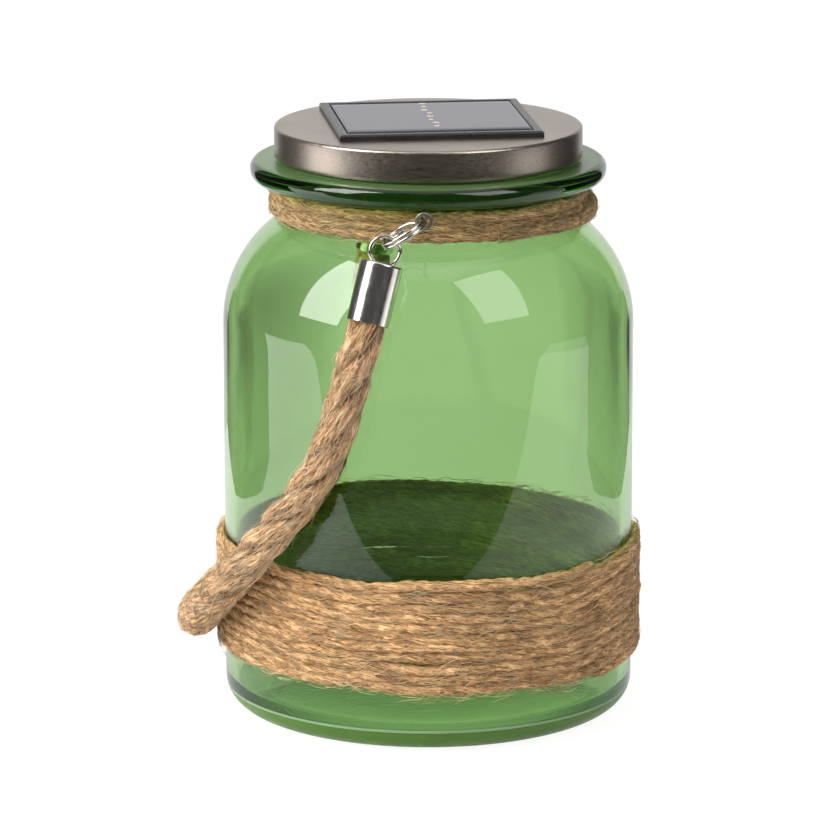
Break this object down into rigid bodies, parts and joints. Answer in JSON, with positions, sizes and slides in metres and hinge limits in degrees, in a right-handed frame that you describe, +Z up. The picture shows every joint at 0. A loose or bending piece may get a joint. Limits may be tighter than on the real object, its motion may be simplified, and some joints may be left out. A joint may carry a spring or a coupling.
{
  "type": "solar jar lantern",
  "caption": "Green glass jar lantern with a steel lid, solar panel and light module, jute twine round neck and foot, and a hinged rope handle.",
  "frame": {"origin": "centre of the ring that the jar stands on, on the jar's axis", "axes": "+Z up along the jar's axis, -Y towards the front eye of the handle, both handle hinges turn about lines along +Y"},
  "size_m": [0.1253, 0.1283, 0.1598],
  "materials": {
    "glass": "clear green pressed glass, slightly uneven",
    "twine": "rough natural jute twine",
    "rope": "three-strand natural jute rope with loose fibres",
    "lid_steel": "brushed steel with a warm grey tone",
    "black_plastic": "fine satin moulded plastic",
    "silicone": "translucent white silicone",
    "steel_wire": "bright zinc-plated steel",
    "bright_wire": "polished nickel plate",
    "cap_chrome": "polished nickel plate",
    "cell": "purple-grey silicon under clear resin",
    "board": "green solder mask",
    "chip_plastic": "black moulded resin",
    "battery_sleeve": "plain green shrink sleeve",
    "lens_plastic": "clear warm-white resin",
    "lead_plastic": "red and black insulation"
  },
  "bodies": {
    "jar": {"glass_jar": "glass", "neck_wire": "steel_wire", "neck_twine": "twine", "foot_twine": "twine"},
    "lid": {"lid_cap": "lid_steel", "lid_housing": "black_plastic", "seal_ring": "silicone", "housing_floor": "black_plastic", "floor_screws": "steel_wire", "battery_cover": "black_plastic", "cover_screw": "steel_wire", "battery": "battery_sleeve", "battery_spring": "steel_wire", "battery_plate": "steel_wire", "solar_tray": "black_plastic", "solar_cell": "cell", "solar_leads": "lead_plastic", "battery_leads": "lead_plastic", "circuit_board": "board", "board_parts": "chip_plastic", "board_screws": "steel_wire", "light_diode": "lens_plastic", "switch_body": "steel_wire"},
    "switch": {"switch_slider": "black_plastic"},
    "front_ring": {"link_front": "bright_wire"},
    "back_ring": {"link_back": "bright_wire"},
    "handle": {"rope_handle": "rope", "ferrule_front": "cap_chrome", "ferrule_back": "cap_chrome", "bail_front": "bright_wire", "bail_back": "bright_wire"}
  },
  "joints": [
    {"name": "lid_lift", "type": "slide", "parent": "jar", "child": "lid", "axis": [0, 0, 1], "range_m": [0, 0.04]},
    {"name": "switch_slide", "type": "slide", "parent": "lid", "child": "switch", "axis": [1, 0, 0], "range_m": [0, 0.0025]},
    {"name": "front_ring_swing", "type": "hinge", "parent": "jar", "child": "front_ring", "pos_m": [-0.0011, -0.0546, 0.1427], "axis": [0, 1, 0], "range_deg": [0, 240]},
    {"name": "back_ring_swing", "type": "hinge", "parent": "jar", "child": "back_ring", "pos_m": [-0.0011, 0.0546, 0.1427], "axis": [0, 1, 0], "range_deg": [0, 240]},
    {"name": "handle_swing", "type": "hinge", "parent": "front_ring", "child": "handle", "pos_m": [-0.01147, -0.0546, 0.13647], "axis": [0, 1, 0], "range_deg": [0, 62]}
  ],
  "couplings": [
    {"joint": "back_ring_swing", "follows": "front_ring_swing", "ratio": 1}
  ]
}
